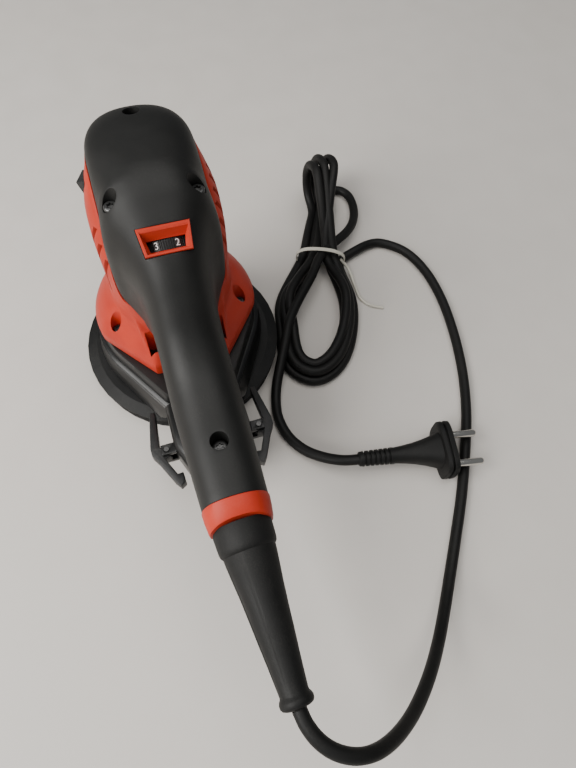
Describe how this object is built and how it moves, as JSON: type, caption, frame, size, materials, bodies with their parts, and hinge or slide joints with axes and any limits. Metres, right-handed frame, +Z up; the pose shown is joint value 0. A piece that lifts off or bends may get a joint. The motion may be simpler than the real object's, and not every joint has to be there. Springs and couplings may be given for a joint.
{
  "type": "random orbital sander",
  "caption": "Random orbital sander: upright motor head with a bar handle, round hook-face pad, speed dial, slide switch, rear dust outlet with latches, and a mains lead with plug.",
  "frame": {"origin": "on the motor's axis at the underside of the sanding pad", "axes": "+Z up along the motor's axis, +X back along the handle, +Y to the side the lead lies on"},
  "size_m": [0.383, 0.2589, 0.1654],
  "materials": {
    "red_plastic": "satin moulded plastic",
    "soft_black_plastic": "soft-touch matte",
    "gloss_black_plastic": "glossy",
    "black_plastic": "satin",
    "rubber": "matte",
    "foam": "matte foam",
    "aluminium": "cast",
    "steel": "ground",
    "dark_steel": "laminated",
    "copper": "bare copper",
    "circuit_board": "solder mask",
    "nickel": "nickel plated"
  },
  "bodies": {
    "root": {"motor_housing": "red_plastic", "handle_ring": "red_plastic", "dial_bezel": "red_plastic", "top_cover": "soft_black_plastic", "handle_lower": "soft_black_plastic", "dust_shroud": "gloss_black_plastic", "dust_outlet": "gloss_black_plastic", "upper_bracket": "black_plastic", "exhaust_grille_left": "black_plastic", "exhaust_grille_right": "black_plastic", "switch_body": "black_plastic", "cord_clamp": "black_plastic", "terminal_block": "black_plastic", "pad_brake_ring": "rubber", "cord_boot": "rubber", "cord_to_hank": "rubber", "cord_to_plug": "rubber", "cord_hank": "rubber", "plug_body": "rubber", "bearing_bracket": "aluminium", "brush_holder_left": "aluminium", "brush_holder_right": "aluminium", "lower_bearing": "steel", "upper_bearing": "steel", "latch_pin_left": "steel", "latch_pin_right": "steel", "cover_screw_left": "steel", "cover_screw_right": "steel", "cover_screw_front": "steel", "handle_screw": "steel", "base_screw_left_1": "steel", "base_screw_left_2": "steel", "base_screw_right_1": "steel", "base_screw_right_2": "steel", "stator": "dark_steel", "speed_board": "circuit_board", "plug_pin_1": "nickel", "plug_pin_2": "nickel"},
    "rotor": {"motor_shaft": "steel", "pad_bearing": "steel", "eccentric": "aluminium", "dust_fan": "black_plastic", "cooling_fan": "black_plastic", "armature": "copper", "commutator": "copper"},
    "pad": {"hook_facing": "foam", "pad_foam": "foam", "pad_plate": "black_plastic", "pad_spindle": "steel", "pad_screw_1": "steel", "pad_screw_2": "steel", "pad_screw_3": "steel", "pad_screw_4": "steel"},
    "dial": {"speed_dial": "black_plastic"},
    "switch": {"power_slide": "black_plastic"},
    "latch_left": {"latch_left": "black_plastic"},
    "latch_right": {"latch_right": "black_plastic"}
  },
  "joints": [
    {"name": "rotor_spin", "type": "hinge", "parent": "root", "child": "rotor", "pos_m": [0, 0, 0.06], "axis": [0, 0, 1], "continuous": true},
    {"name": "pad_spin", "type": "hinge", "parent": "rotor", "child": "pad", "pos_m": [0.00125, 0, 0.025], "axis": [0, 0, 1], "continuous": true},
    {"name": "dial_turn", "type": "hinge", "parent": "root", "child": "dial", "pos_m": [0.02877, 0, 0.13381], "axis": [0.829, 0, -0.5592], "range_deg": [-67.5, 157.5]},
    {"name": "switch_slide", "type": "slide", "parent": "root", "child": "switch", "axis": [0, 0, -1], "range_m": [0, 0.006]},
    {"name": "latch_left_turn", "type": "hinge", "parent": "root", "child": "latch_left", "pos_m": [0.09, -0.0275, 0.032], "axis": [0, 0, -1], "range_deg": [0, 12], "stiffness_Nm_per_rad": 0.05},
    {"name": "latch_right_turn", "type": "hinge", "parent": "root", "child": "latch_right", "pos_m": [0.09, 0.0275, 0.032], "axis": [0, 0, 1], "range_deg": [0, 12], "stiffness_Nm_per_rad": 0.05}
  ]
}
